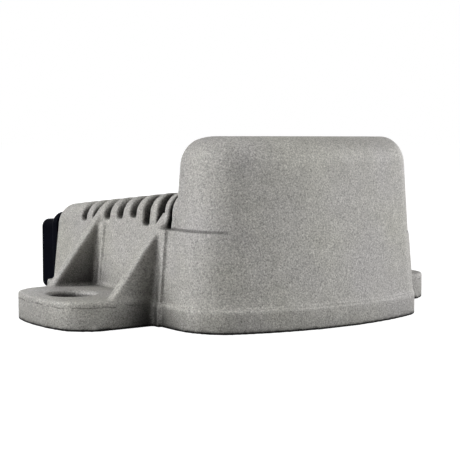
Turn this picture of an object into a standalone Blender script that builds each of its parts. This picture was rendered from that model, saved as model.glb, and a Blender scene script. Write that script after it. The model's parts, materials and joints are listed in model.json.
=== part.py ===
"""Micro inverter: a die-cast heat-sink housing with two mounting ears and a sealed rear connector.

Frame: metres, +Z up, the mounting plane at z = 0, +X from ear to ear, +Y towards the connector.
Dimensions below are in millimetres and are scaled once, where meshes are made.
"""
import math

import bmesh
import bpy
from mathutils import Matrix, Vector

MM = 0.001
GAP = 0.3                    # clearance between neighbouring pieces
OVERLAP = 0.8                # how far shapes that are joined reach into each other
ARC_STEPS = 5                # straight pieces in a quarter-round corner

# ---- driving dimensions of the casting ----
HEIGHT = 40.5
FRONT_Y = -47.15             # foremost point of the bulging front
REAR_Y = 31.65               # flat rear face that carries the connector
FRONT_RADIUS = 68.0          # plan radius of the bulging front
SKIRT_HALF = 31.3
SKIRT_TOP = 5.0
SKIRT_CORNER = 7.0
SKIRT_REAR_STEP = 0.3
REAR_CORNER = 3.5

EAR_END = 52.3
EAR_FRONT = -22.75
EAR_BACK = 8.35
EAR_TOP = 6.25
EAR_END_RADIUS = 42.5
EAR_CORNER = 5.5
EAR_HOLE_RADIUS = 5.0
EAR_HOLE_X = 43.1
EAR_HOLE_Y = 0.5 * (EAR_FRONT + EAR_BACK)

SHOULDER_TOP = 20.8          # wide lower part of the tower
SHOULDER_HALF_LOW = 30.5
SHOULDER_HALF_HIGH = 29.2
SHOULDER_BACK = -23.6
TOWER_HALF_LOW = 28.8
TOWER_HALF_HIGH = 26.7
TOWER_BACK = -24.85
TOWER_EDGE = 4.0
FRONT_DRAFT = 2.6            # how far the front leans back from the skirt to the roof

ROOF_HALF_BASE = 31.1        # finned body: half width at z = 0
ROOF_SIDE_DRAFT = 0.112      # half width lost per millimetre of height
ROOF_Z_FRONT = 28.9
ROOF_Z_REAR = 23.6
ROOF_REAR_ROUND = 6.0
ROOF_EDGE = 4.0

FIN_PITCH = 5.85
SLOT_WIDTH = 2.7
FIRST_SLOT_Y = 15.0          # rearmost slot
SLOT_FLOOR = (20.4, 20.8, 21.3, 21.8, 22.3, 20.9, 20.9)
TOWER_GROOVE_WIDTH = 1.0     # thin gap between the last fin and the tower
TOWER_GROOVE_FLOOR = 21.6

GUSSET_THICKNESS = 2.8
GUSSET_FOOT_X = 41.6
GUSSET_TOP_X = 28.0
GUSSET_TOP_Z = 22.0
GUSSET_Y = (-21.15, EAR_BACK - 0.5 * GUSSET_THICKNESS - 0.1)
POST_WIDTH = 2.4             # upright strip on the side wall, just ahead of each gusset
POST_FOOT_X = 31.2
POST_TOP = (29.6, 20.4)
SKIRT_PAD_X = 32.1           # the forward strip goes on down the skirt, a little prouder

# ---- inside of the casting ----
WALL = 2.8
FRONT_WALL = 2.6             # skirt wall ahead of the cover recess
REAR_WALL = 2.2
RECESS_TOP = 5.4             # ledge that the cover gasket seals against
RECESS_HALF = 28.6
CAVITY_HALF = 26.2
LEDGE = 2.0
CAVITY_TOP = 18.2
TOWER_CAVITY_HALF = 23.2
TOWER_CAVITY_TOP = 37.7
BOSS_RADIUS = 3.0
PCB_BOSS_RADIUS = 2.6
THREAD_HOLE = 1.65
SCREW_SHANK = 1.25
SCREW_CLEARANCE = 1.55
COVER_SCREW_PLACES = ((-24.3, 26.2), (24.3, 26.2), (-24.3, 0.5), (24.3, 0.5),
                      (-24.3, -25.5), (24.3, -25.5))
PCB_SCREW_PLACES = ((-22.3, 17.2), (22.3, 17.2), (-17.5, -22.0), (17.5, -22.0))
PEDESTAL_HALF = 19.0
PEDESTAL_Y = (-12.0, 2.4)
PEDESTAL_FLOOR = 14.9

COVER_BOTTOM = 2.0
COVER_TOP = 3.8
GASKET_BOTTOM = COVER_TOP + GAP
GASKET_TOP = RECESS_TOP - GAP
PCB_BOTTOM = 7.6
PCB_TOP = 9.2
BOARD = PCB_TOP + GAP        # underside of the parts that stand on the board

# ---- connector ----
COLLAR_HALF = 26.8
COLLAR_Z = (0.5, 21.5)
COLLAR_Y = (32.6, 35.0)
SHROUD_HALF = 23.8
SHROUD_Z = (0.8, 19.0)
SHROUD_END = 47.15
SHROUD_WALL = 1.8
SHROUD_FLOOR = 36.6
SPIGOT_HALF = 19.6
SPIGOT_Z = (6.6, 16.4)
SPIGOT_FRONT = 27.4
BLADE_X = (-15.0, -7.5, 7.5, 15.0)
PIN_X = (-2.6, 0.0, 2.6)
PIN_ROWS = (9.9, 13.1)
PIN_END = 42.4
PIN_TURN_Y = 22.0

# ---- electronics on the board ----
TRANSFORMER_PLACE = (-9.5, -34.5)
STORAGE_PLACES = ((5.9, -34.0), (16.2, -34.0))
CHOKES = (("output_choke", -12.2, 11.6), ("input_choke", 12.2, 11.6))
CHOKE_RADIUS = (3.9, 7.4)
CHOKE_HEIGHT = 6.4
CHOKE_TURN = 320.0           # degrees of the ring that the winding covers
FILM_CAPACITOR_X = (-19.6, 19.6)
TRANSISTOR_COLUMNS = (-12.4, 0.0, 12.4)
TRANSISTOR_ROWS = (-8.3, -1.3)
TRANSISTOR_TOP = 3.7         # above the board
FUSE_HEIGHT = 2.1


def clear_scene():
    for item in list(bpy.data.objects):
        bpy.data.objects.remove(item, do_unlink=True)


def new_collection(name):
    group = bpy.data.collections.new(name)
    bpy.context.scene.collection.children.link(group)
    return group


def material(name, colour, roughness, metallic=0.0):
    made = bpy.data.materials.new(name)
    made.use_nodes = True
    shader = made.node_tree.nodes["Principled BSDF"]
    shader.inputs["Base Color"].default_value = (*colour, 1.0)
    shader.inputs["Roughness"].default_value = roughness
    shader.inputs["Metallic"].default_value = metallic
    return made


# ---- outlines ----
def arc(cx, cy, radius, start, end, steps=ARC_STEPS):
    """Points on a circle from one angle to another, in degrees."""
    points = []
    for i in range(steps + 1):
        angle = math.radians(start + (end - start) * i / steps)
        points.append((cx + radius * math.cos(angle), cy + radius * math.sin(angle)))
    return points


def rounded_box(x0, y0, x1, y1, radius, steps=ARC_STEPS):
    return (arc(x1 - radius, y1 - radius, radius, 0, 90, steps)
            + arc(x0 + radius, y1 - radius, radius, 90, 180, steps)
            + arc(x0 + radius, y0 + radius, radius, 180, 270, steps)
            + arc(x1 - radius, y0 + radius, radius, 270, 360, steps))


def body_outline(half, front, back, corner, back_corner, radius=FRONT_RADIUS):
    """Plan of the body: straight sides and back, and a front that bulges on one large arc."""
    centre_y = front + radius
    fillet_x = half - corner
    fillet_y = centre_y - math.sqrt((radius - corner) ** 2 - fillet_x ** 2)
    turn = math.degrees(math.atan2(fillet_x, centre_y - fillet_y))
    left = arc(-fillet_x, fillet_y, corner, 180, 270 - turn)
    bulge = arc(0.0, centre_y, radius, 270 - turn, 270 + turn, 8)[1:-1]
    right = arc(fillet_x, fillet_y, corner, 270 + turn, 360)
    back_right = arc(half - back_corner, back - back_corner, back_corner, 0, 90, 3)
    back_left = arc(-half + back_corner, back - back_corner, back_corner, 90, 180, 3)
    return left + bulge + right + back_right + back_left


def ear_outline():
    """Both ears in one plate, with slightly arched ends and rounded corners."""
    middle = EAR_HOLE_Y
    reach = 0.5 * (EAR_BACK - EAR_FRONT) - EAR_CORNER
    corner_x = EAR_END - EAR_END_RADIUS + math.sqrt((EAR_END_RADIUS - EAR_CORNER) ** 2 - reach ** 2)
    turn = math.degrees(math.asin(reach / (EAR_END_RADIUS - EAR_CORNER)))
    end = (arc(corner_x, middle - reach, EAR_CORNER, 270, 360 - turn, 4)
           + arc(EAR_END - EAR_END_RADIUS, middle, EAR_END_RADIUS, -turn, turn, 6)[1:-1]
           + arc(corner_x, middle + reach, EAR_CORNER, turn, 90, 4))
    other = [(-x, 2 * middle - y) for x, y in end]
    return end + other


def finned_profile():
    """Side view of the finned body as (y, z): sloping roof with a rounded rear edge."""
    slope = (ROOF_Z_REAR - ROOF_Z_FRONT) / (REAR_Y - TOWER_BACK)
    front = TOWER_BACK - OVERLAP
    tilt = -math.degrees(math.atan(slope))
    centre_y = REAR_Y - ROOF_REAR_ROUND
    centre_z = ROOF_Z_REAR - ROOF_REAR_ROUND
    rear = arc(centre_y, centre_z, ROOF_REAR_ROUND, 0, 90 - tilt, 6)
    return [(front, 1.0), (REAR_Y, 1.0)] + rear + [(front, ROOF_Z_FRONT)]


def gusset_profile(side):
    """Triangular web in (x, z) from the ear top to the roof, on one side of the body."""
    inner = GUSSET_TOP_X - 5.0
    points = [(inner, EAR_TOP - OVERLAP), (GUSSET_FOOT_X + 0.6, EAR_TOP - OVERLAP),
              (GUSSET_FOOT_X, EAR_TOP), (GUSSET_TOP_X, GUSSET_TOP_Z), (inner, GUSSET_TOP_Z)]
    return [(side * x, z) for x, z in points]


# ---- solids ----
def mesh_object(name, mesh, group, finish=None):
    made = bpy.data.objects.new(name, mesh)
    group.objects.link(made)
    if finish is not None:
        mesh.materials.clear()
        mesh.materials.append(finish)
    return made


def clean(mesh):
    """Weld a mesh and turn its faces outwards."""
    bm = bmesh.new()
    bm.from_mesh(mesh)
    bmesh.ops.remove_doubles(bm, verts=bm.verts, dist=0.002 * MM)
    bmesh.ops.recalc_face_normals(bm, faces=bm.faces)
    bm.to_mesh(mesh)
    bm.free()


def extrude(name, outline, low, high, group, finish=None, along="Z", holes=()):
    """A flat outline as a 2D curve, given a thickness along one axis, as a closed mesh."""
    curve = bpy.data.curves.new(name, "CURVE")
    curve.dimensions = "2D"
    curve.fill_mode = "BOTH"
    curve.extrude = 0.5 * (high - low) * MM
    for loop in (outline, *holes):
        spline = curve.splines.new("POLY")
        spline.points.add(len(loop) - 1)
        for point, (u, v) in zip(spline.points, loop):
            point.co = (u * MM, v * MM, 0.0, 1.0)
        spline.use_cyclic_u = True
    holder = bpy.data.objects.new(name + "_outline", curve)
    group.objects.link(holder)
    bpy.context.view_layer.update()
    evaluated = holder.evaluated_get(bpy.context.evaluated_depsgraph_get())
    mesh = bpy.data.meshes.new_from_object(evaluated)
    bpy.data.objects.remove(holder, do_unlink=True)
    middle = 0.5 * (low + high) * MM
    turn = {"Z": Matrix.Identity(4),
            "Y": Matrix(((1, 0, 0, 0), (0, 0, 1, 0), (0, 1, 0, 0), (0, 0, 0, 1))),
            "X": Matrix(((0, 0, 1, 0), (1, 0, 0, 0), (0, 1, 0, 0), (0, 0, 0, 1)))}[along]
    shift = {"Z": Vector((0, 0, middle)), "Y": Vector((0, middle, 0)), "X": Vector((middle, 0, 0))}
    mesh.transform(Matrix.Translation(shift[along]) @ turn)
    clean(mesh)
    return mesh_object(name, mesh, group, finish)


def box(name, low, high, group, finish=None):
    """A box between two corners."""
    mesh = bpy.data.meshes.new(name)
    bm = bmesh.new()
    bmesh.ops.create_cube(bm, size=1.0)
    size = Vector(high) - Vector(low)
    middle = 0.5 * (Vector(high) + Vector(low))
    bmesh.ops.scale(bm, vec=size * MM, verts=bm.verts)
    bmesh.ops.translate(bm, vec=middle * MM, verts=bm.verts)
    bm.to_mesh(mesh)
    bm.free()
    return mesh_object(name, mesh, group, finish)


def cylinder(name, centre, radius, low, high, group, finish=None, sides=24, along="Z"):
    """A cylinder on a vertical axis, or on an axis along Y."""
    mesh = bpy.data.meshes.new(name)
    bm = bmesh.new()
    bmesh.ops.create_cone(bm, cap_ends=True, segments=sides, radius1=radius * MM, radius2=radius * MM,
                          depth=(high - low) * MM)
    middle = 0.5 * (low + high)
    if along == "Y":
        bmesh.ops.rotate(bm, cent=(0, 0, 0), matrix=Matrix.Rotation(-math.pi / 2, 3, "X"), verts=bm.verts)
        place = Vector((centre[0], middle, centre[1]))
    else:
        place = Vector((centre[0], centre[1], middle))
    bmesh.ops.translate(bm, vec=place * MM, verts=bm.verts)
    bm.to_mesh(mesh)
    bm.free()
    return mesh_object(name, mesh, group, finish)


def turned(name, profile, centre, group, finish=None, steps=20, sweep=360.0):
    """A closed (radius, z) profile turned about a vertical axis, or through part of a turn."""
    mesh = bpy.data.meshes.new(name)
    bm = bmesh.new()
    ring = [bm.verts.new((r * MM, 0.0, z * MM)) for r, z in profile]
    edges = [bm.edges.new((ring[i], ring[i - 1])) for i in range(len(ring))]
    whole = sweep >= 360.0
    geometry = ring + edges
    if not whole:
        geometry.append(bm.faces.new(ring))
    bmesh.ops.spin(bm, geom=geometry, cent=(0, 0, 0), axis=(0, 0, 1), angle=math.radians(sweep),
                   steps=steps, use_merge=whole, use_duplicate=False)
    bmesh.ops.translate(bm, vec=Vector(centre) * MM, verts=bm.verts)
    bm.to_mesh(mesh)
    bm.free()
    clean(mesh)
    return mesh_object(name, mesh, group, finish)


def boolean(target, cutter, operation="DIFFERENCE"):
    """Join, cut or trim with another solid, which stays as a hidden guide."""
    step = target.modifiers.new(operation.title() + "_" + cutter.name, "BOOLEAN")
    step.operation = operation
    step.solver = "EXACT"
    step.object = cutter
    cutter.hide_render = True
    cutter.display_type = "WIRE"


def bevel(target, width, segments=2, angle=50.0):
    step = target.modifiers.new("Edges", "BEVEL")
    step.width = width * MM
    step.segments = segments
    step.limit_method = "ANGLE"
    step.angle_limit = math.radians(angle)
    step.use_clamp_overlap = False
    target.modifiers.new("Flat faces", "TRIANGULATE")


def lean(target, low, high, scale_x, shift_y):
    """Give a block draft: narrow it, and lean its front back, in proportion to height."""
    front_half = (TOWER_BACK - 2.5) * MM
    for vertex in target.data.vertices:
        share = (vertex.co.z / MM - low) / (high - low)
        vertex.co.x *= 1.0 + (scale_x - 1.0) * share
        if vertex.co.y < front_half:
            vertex.co.y += shift_y * share * MM


def smooth(target, angle=35.0):
    target.data.shade_smooth()
    target.data.set_sharp_from_angle(angle=math.radians(angle))


# ---- the casting ----
def housing(parts, guides, finish):
    outline = body_outline(SKIRT_HALF, FRONT_Y, REAR_Y - SKIRT_REAR_STEP, SKIRT_CORNER, REAR_CORNER)
    skirt = extrude("housing", outline, 0.0, SKIRT_TOP, parts, finish)
    boolean(skirt, extrude("ear_plate", ear_outline(), 0.0, EAR_TOP, guides), "UNION")
    boolean(skirt, finned_body(guides), "UNION")
    boolean(skirt, shoulder(guides), "UNION")
    boolean(skirt, tower(guides), "UNION")
    for side in (-1, 1):
        for y in GUSSET_Y:
            web = extrude(f"gusset_{side}_{y:.0f}", gusset_profile(side), y - 0.5 * GUSSET_THICKNESS,
                          y + 0.5 * GUSSET_THICKNESS, guides, along="Y")
            boolean(skirt, web, "UNION")
            boolean(skirt, post(side, y, guides), "UNION")
        boolean(skirt, skirt_pad(side, guides), "UNION")
    cut_fins(skirt, guides)
    cut_ears(skirt, guides)
    cut_inside(skirt, guides)
    return skirt


def finned_body(guides):
    block = extrude("finned_body", finned_profile(), -ROOF_HALF_BASE, ROOF_HALF_BASE, guides, along="X")
    for vertex in block.data.vertices:
        half = ROOF_HALF_BASE - ROOF_SIDE_DRAFT * vertex.co.z / MM
        vertex.co.x = math.copysign(half * MM, vertex.co.x)
    bevel(block, ROOF_EDGE, 3, 60.0)
    return block


def shoulder(guides):
    outline = body_outline(SHOULDER_HALF_LOW, FRONT_Y + 0.35, SHOULDER_BACK, 6.0, 2.0)
    low = 1.0
    block = extrude("shoulder", outline, low, SHOULDER_TOP, guides)
    lean(block, low, SHOULDER_TOP, SHOULDER_HALF_HIGH / SHOULDER_HALF_LOW, 1.1)
    bevel(block, 1.4, 2, 60.0)
    return block


def tower(guides):
    low = SHOULDER_TOP - 6.0
    outline = body_outline(TOWER_HALF_LOW, FRONT_Y + 1.7, TOWER_BACK, 7.0, 5.0)
    block = extrude("tower", outline, low, HEIGHT, guides)
    lean(block, low, HEIGHT, TOWER_HALF_HIGH / TOWER_HALF_LOW, 0.6 * FRONT_DRAFT)
    bevel(block, TOWER_EDGE, 4, 60.0)
    return block


def post(side, gusset_y, guides):
    """Upright strip on the side wall that a gusset's forward face runs into."""
    inner = CAVITY_HALF + 1.2
    low = EAR_TOP - OVERLAP
    profile = [(inner, low), (POST_FOOT_X, low), (POST_FOOT_X, EAR_TOP), POST_TOP, (inner, POST_TOP[1])]
    front = gusset_y - 0.5 * GUSSET_THICKNESS - POST_WIDTH
    return extrude(f"post_{side}_{gusset_y:.0f}", [(side * x, z) for x, z in profile], front,
                   gusset_y - 0.5, guides, along="Y")


def skirt_pad(side, guides):
    front = GUSSET_Y[0] - 0.5 * GUSSET_THICKNESS - POST_WIDTH
    inner, outer = sorted((side * (CAVITY_HALF + 1.2), side * SKIRT_PAD_X))
    return box(f"skirt_pad_{side}", (inner, front, 0.0), (outer, GUSSET_Y[0], SKIRT_TOP + 0.6), guides)


def cut_fins(body, guides):
    reach = ROOF_HALF_BASE + 5.0
    for i, floor in enumerate(SLOT_FLOOR):
        y = FIRST_SLOT_Y - i * FIN_PITCH
        cut = box(f"fin_slot_{i + 1}", (-reach, y - 0.5 * SLOT_WIDTH, floor),
                  (reach, y + 0.5 * SLOT_WIDTH, HEIGHT), guides)
        boolean(body, cut)
    groove_y = TOWER_BACK + 0.9
    groove = box("tower_groove", (-reach, groove_y, TOWER_GROOVE_FLOOR),
                 (reach, groove_y + TOWER_GROOVE_WIDTH, ROOF_Z_FRONT + 1.5), guides)
    boolean(body, groove)


def cut_ears(body, guides):
    for side, name in ((-1, "left"), (1, "right")):
        hole = cylinder("ear_hole_" + name, (side * EAR_HOLE_X, EAR_HOLE_Y), EAR_HOLE_RADIUS,
                        -OVERLAP, EAR_TOP + OVERLAP, guides, sides=32)
        boolean(body, hole)


def cover_outline(inset):
    """Plan of the recess that the cover sits in, or of a piece that much smaller all round."""
    return body_outline(RECESS_HALF - inset, FRONT_Y + FRONT_WALL + inset,
                        REAR_Y - REAR_WALL - inset, 5.0, 3.0)


def cavity_outline():
    return body_outline(CAVITY_HALF, FRONT_Y + FRONT_WALL + LEDGE, REAR_Y - REAR_WALL - LEDGE, 4.0, 2.5)


def cut_inside(body, guides):
    recess = extrude("cover_recess", cover_outline(0.0), -OVERLAP, RECESS_TOP, guides)
    boolean(body, recess)
    boolean(body, extrude("main_cavity", cavity_outline(), RECESS_TOP - OVERLAP, CAVITY_TOP, guides))
    upper = body_outline(TOWER_CAVITY_HALF, FRONT_Y + FRONT_WALL + LEDGE, TOWER_BACK - WALL, 4.0, 1.0)
    room = extrude("tower_cavity", upper, CAVITY_TOP - OVERLAP, TOWER_CAVITY_TOP, guides)
    boolean(body, room)
    for i, (x, y) in enumerate(COVER_SCREW_PLACES):
        boss = cylinder(f"cover_boss_{i}", (x, y), BOSS_RADIUS, RECESS_TOP, CAVITY_TOP + OVERLAP,
                        guides, sides=16)
        boolean(body, boss, "UNION")
    for i, (x, y) in enumerate(PCB_SCREW_PLACES):
        boss = cylinder(f"pcb_boss_{i}", (x, y), PCB_BOSS_RADIUS, BOARD, CAVITY_TOP + OVERLAP,
                        guides, sides=16)
        boolean(body, boss, "UNION")
    pedestal = box("heat_pedestal", (-PEDESTAL_HALF, PEDESTAL_Y[0], PEDESTAL_FLOOR),
                   (PEDESTAL_HALF, PEDESTAL_Y[1], CAVITY_TOP + OVERLAP), guides)
    boolean(body, pedestal, "UNION")
    holes = [(x, y, RECESS_TOP - OVERLAP, RECESS_TOP + 7.0) for x, y in COVER_SCREW_PLACES]
    holes += [(x, y, BOARD - OVERLAP, BOARD + 5.5) for x, y in PCB_SCREW_PLACES]
    for i, (x, y, low, high) in enumerate(holes):
        boolean(body, cylinder(f"thread_hole_{i}", (x, y), THREAD_HOLE, low, high, guides, sides=12))
    window = rounded_outline_y(SPIGOT_HALF + GAP, SPIGOT_Z[0] - GAP, SPIGOT_Z[1] + GAP, 2.0)
    boolean(body, extrude("connector_window", window, REAR_Y - 6.0, REAR_Y + OVERLAP, guides, along="Y"))


def rounded_outline_y(half, low, high, radius, steps=3):
    """A rounded rectangle in (x, z), centred on the object's middle plane."""
    return rounded_box(-half, low, half, high, radius, steps)


# ---- bottom closure ----
def screw(name, x, y, head_radius, head, shank_radius, shank, group, finish):
    """A pan-head screw that points up, as one turned solid with its head below."""
    low, high = head
    socket = 0.55 * (high - low)
    profile = [(0.0, shank[1]), (shank_radius - 0.3, shank[1]), (shank_radius, shank[1] - 0.5),
               (shank_radius, high), (head_radius, high), (head_radius, low + 0.4),
               (head_radius - 0.4, low), (0.45 * head_radius, low),
               (0.45 * head_radius, low + socket), (0.0, low + socket)]
    return turned_solid(name, profile, (x, y, 0.0), group, finish)


def turned_solid(name, profile, centre, group, finish=None, steps=12):
    """A (radius, z) profile that starts and ends on its axis, turned by a Screw modifier."""
    mesh = bpy.data.meshes.new(name)
    mesh.from_pydata([(r * MM, 0.0, z * MM) for r, z in profile],
                     [(i, i + 1) for i in range(len(profile) - 1)], [])
    made = mesh_object(name + "_profile", mesh, group)
    turn = made.modifiers.new("Turn", "SCREW")
    turn.steps = steps
    turn.render_steps = steps
    turn.use_merge_vertices = True
    turn.merge_threshold = 0.00001
    bpy.context.view_layer.update()
    evaluated = made.evaluated_get(bpy.context.evaluated_depsgraph_get())
    solid = bpy.data.meshes.new_from_object(evaluated)
    bpy.data.objects.remove(made, do_unlink=True)
    solid.transform(Matrix.Translation(Vector(centre) * MM))
    clean(solid)
    return mesh_object(name, solid, group, finish)


def base_cover(parts, guides, finish):
    cover = extrude("base_cover", cover_outline(GAP), COVER_BOTTOM, COVER_TOP, parts, finish)
    for i, (x, y) in enumerate(COVER_SCREW_PLACES):
        boolean(cover, cylinder(f"cover_hole_{i}", (x, y), SCREW_CLEARANCE, COVER_BOTTOM - OVERLAP,
                                COVER_TOP + OVERLAP, guides, sides=12))
    return cover


def cover_gasket(parts, guides, finish):
    inner = cavity_outline()
    ring = extrude("cover_gasket", cover_outline(GAP), GASKET_BOTTOM, GASKET_TOP, parts, finish)
    boolean(ring, extrude("gasket_inside", inner, GASKET_BOTTOM - OVERLAP, GASKET_TOP + OVERLAP, guides))
    for i, (x, y) in enumerate(COVER_SCREW_PLACES):
        pad = cylinder(f"gasket_pad_{i}", (x, y), BOSS_RADIUS, GASKET_BOTTOM, GASKET_TOP, guides, sides=16)
        boolean(ring, pad, "UNION")
    for i, (x, y) in enumerate(COVER_SCREW_PLACES):
        boolean(ring, cylinder(f"gasket_hole_{i}", (x, y), SCREW_CLEARANCE, GASKET_BOTTOM - OVERLAP,
                               GASKET_TOP + OVERLAP, guides, sides=12))
    return ring


def screws(name, places, head_radius, head, shank_radius, shank, parts, finish):
    for i, (x, y) in enumerate(places):
        smooth(screw(f"{name}_{i + 1}", x, y, head_radius, head, shank_radius, shank, parts, finish))


# ---- connector ----
def connector_shell(parts, guides, finish):
    collar = extrude("connector_shell", rounded_outline_y(COLLAR_HALF, *COLLAR_Z, 1.6), *COLLAR_Y, parts,
                     finish, along="Y")
    shroud = rounded_outline_y(SHROUD_HALF, *SHROUD_Z, 1.6)
    boolean(collar, extrude("shroud", shroud, COLLAR_Y[1] - OVERLAP, SHROUD_END, guides, along="Y"),
            "UNION")
    spigot = rounded_outline_y(SPIGOT_HALF, *SPIGOT_Z, 1.8)
    boolean(collar, extrude("spigot", spigot, SPIGOT_FRONT, COLLAR_Y[0] + OVERLAP, guides, along="Y"),
            "UNION")
    mouth = rounded_outline_y(SHROUD_HALF - SHROUD_WALL, SHROUD_Z[0] + SHROUD_WALL,
                              SHROUD_Z[1] - SHROUD_WALL, 1.0)
    boolean(collar, extrude("mouth", mouth, SHROUD_FLOOR, SHROUD_END + OVERLAP, guides, along="Y"))
    for i, (x, z, half_x, half_z) in enumerate(contact_places()):
        slot = box(f"contact_slot_{i}", (x - half_x - GAP, SPIGOT_FRONT - OVERLAP, z - half_z - GAP),
                   (x + half_x + GAP, SHROUD_FLOOR + OVERLAP, z + half_z + GAP), guides)
        boolean(collar, slot)
    return collar


def contact_places():
    """(x, z, half width, half thickness) of each contact where it passes the shell."""
    blades = [(x, PIN_ROWS[0] + 1.6, 2.4, 0.4) for x in BLADE_X]
    pins = [(x, z, 0.32, 0.32) for x in PIN_X for z in PIN_ROWS]
    return blades + pins


def contact(name, x, z, half_x, half_z, turn_y, group, finish):
    """A contact that runs out through the shell and turns down onto the board."""
    tip = PIN_END - 0.6
    profile = [(turn_y - half_z, BOARD), (turn_y + half_z, BOARD), (turn_y + half_z, z - half_z),
               (tip, z - half_z), (PIN_END, z), (tip, z + half_z), (turn_y - half_z, z + half_z)]
    return extrude(name, profile, x - half_x, x + half_x, group, finish, along="X")


def contacts(parts, finish_blades, finish_pins):
    places = contact_places()
    for i, place in enumerate(places[:len(BLADE_X)]):
        contact(f"power_blade_{i + 1}", *place, PIN_TURN_Y, parts, finish_blades)
    for i, place in enumerate(places[len(BLADE_X):]):
        row = PIN_ROWS.index(place[1])
        contact(f"signal_pin_{i + 1}", *place, PIN_TURN_Y + 2.4 - 2.4 * row, parts, finish_pins)


def connector_seal(parts, guides, finish):
    low, high = COLLAR_Z[0] + 0.6, COLLAR_Z[1] - 0.6
    ring = extrude("connector_seal", rounded_outline_y(COLLAR_HALF - 0.7, low + 4.4, high, 1.6),
                   REAR_Y + 0.15, COLLAR_Y[0] - 0.15, parts, finish, along="Y")
    inside = rounded_outline_y(SPIGOT_HALF + 1.2, SPIGOT_Z[0] - 1.0, SPIGOT_Z[1] + 1.2, 2.0)
    boolean(ring, extrude("seal_inside", inside, REAR_Y - OVERLAP, COLLAR_Y[0] + OVERLAP, guides,
                          along="Y"))
    return ring


# ---- electronics ----
def main_board(parts, guides, finish):
    outline = body_outline(24.9, FRONT_Y + 5.6, SPIGOT_FRONT - 1.2, 4.0, 2.0)
    board = extrude("main_board", outline, PCB_BOTTOM, PCB_TOP, parts, finish)
    for i, (x, y) in enumerate(PCB_SCREW_PLACES):
        boolean(board, cylinder(f"board_hole_{i}", (x, y), 1.6, PCB_BOTTOM - OVERLAP, PCB_TOP + OVERLAP,
                                guides, sides=12))
    for i, (x, y) in enumerate(COVER_SCREW_PLACES):
        boolean(board, cylinder(f"board_notch_{i}", (x, y), BOSS_RADIUS + GAP, PCB_BOTTOM - OVERLAP,
                                PCB_TOP + OVERLAP, guides, sides=16))
    return board


def transformer(parts, guides, finishes):
    """E-core transformer that stands in the tower, on the board."""
    x, y = TRANSFORMER_PLACE
    half_x, half_y = 9.5, 3.3
    middle, high = 21.6, 33.8
    leg = 2.6                    # outer leg width, and half width of the centre leg
    yoke = 3.4
    bobbin_wall = 0.8
    opening = half_x - leg       # from the centre to the inside of an outer leg
    sleeve = leg + 1.1
    deep = half_y + 1.1
    base = BOARD + yoke + GAP
    top = high - yoke - GAP
    halves = (("transformer_core_lower", BOARD, middle - 0.5 * GAP, BOARD + yoke, middle + 1.0),
              ("transformer_core_upper", middle + 0.5 * GAP, high, middle - 1.0, high - yoke))
    for name, low_z, high_z, window_low, window_high in halves:
        core = box(name, (x - half_x, y - half_y, low_z), (x + half_x, y + half_y, high_z), parts,
                   finishes["ferrite"])
        for side in (-1, 1):
            inner, outer = sorted((x + side * leg, x + side * opening))
            window = box(f"{name}_window_{side}", (inner, y - half_y - 1.0, window_low),
                         (outer, y + half_y + 1.0, window_high), guides)
            boolean(core, window)
    bobbin = box("transformer_bobbin", (x - sleeve, y - deep, base), (x + sleeve, y + deep, top), parts,
                 finishes["bobbin"])
    for i, z in enumerate((base, top - bobbin_wall)):
        rim = box(f"bobbin_rim_{i}", (x - opening + GAP, y - deep - 1.2, z),
                  (x + opening - GAP, y + deep + 1.2, z + bobbin_wall), guides)
        boolean(bobbin, rim, "UNION")
    boolean(bobbin, box("bobbin_bore", (x - leg - GAP, y - half_y - GAP, base - 1.0),
                        (x + leg + GAP, y + half_y + GAP, top + 1.0), guides))
    turns = rounded_box(x - opening + 0.5, y - deep - 1.0, x + opening - 0.5, y + deep + 1.0, 1.4)
    coil = extrude("transformer_winding", turns, base + bobbin_wall + GAP, top - bobbin_wall - GAP,
                   parts, finishes["copper"])
    boolean(coil, box("winding_bore", (x - sleeve - GAP, y - deep - GAP, base),
                      (x + sleeve + GAP, y + deep + GAP, top), guides))


def electrolytic(name, x, y, radius, height, parts, finish):
    low = BOARD
    profile = [(0.0, low + height), (radius - 0.9, low + height), (radius - 0.3, low + height - 0.3),
               (radius, low + height - 0.9), (radius, low + 3.4), (radius - 0.5, low + 2.9),
               (radius, low + 2.4), (radius, low + 0.4), (radius - 0.4, low), (0.0, low)]
    return turned_solid(name, profile, (x, y, 0.0), parts, finish, steps=20)


def storage_capacitors(parts, finish):
    for i, (x, y) in enumerate(STORAGE_PLACES):
        smooth(electrolytic(f"storage_capacitor_{i + 1}", x, y, 4.5, 24.5, parts, finish))


def chokes(parts, guides, finishes):
    """Two toroid chokes, each a ring core inside a winding that is open at one side."""
    inner, outer = CHOKE_RADIUS
    low = BOARD + 0.9
    high = low + CHOKE_HEIGHT
    core = [(outer - 1.2, low + 1.0), (outer - 1.2, high - 1.0), (inner + 1.2, high - 1.0),
            (inner + 1.2, low + 1.0)]
    hollow = [(outer - 1.2 + GAP, low + 1.0 - GAP), (outer - 1.2 + GAP, high - 1.0 + GAP),
              (inner + 1.2 - GAP, high - 1.0 + GAP), (inner + 1.2 - GAP, low + 1.0 - GAP)]
    wire = [(outer, low), (outer, high), (inner, high), (inner, low)]
    for name, x, y in CHOKES:
        place = (x, y, 0.0)
        smooth(turned(name + "_core", core, place, parts, finishes["ferrite"], steps=24))
        coil = turned(name + "_winding", wire, place, parts, finishes["copper"], steps=24,
                      sweep=CHOKE_TURN)
        boolean(coil, turned(name + "_hollow", hollow, place, guides, steps=24))
        smooth(coil)


def film_capacitors(parts, finish):
    for i, x in enumerate(FILM_CAPACITOR_X):
        block = box(f"film_capacitor_{i + 1}", (x - 2.9, -17.6, BOARD), (x + 2.9, -13.4, BOARD + 7.4),
                    parts, finish)
        bevel(block, 0.5, 2)


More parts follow.
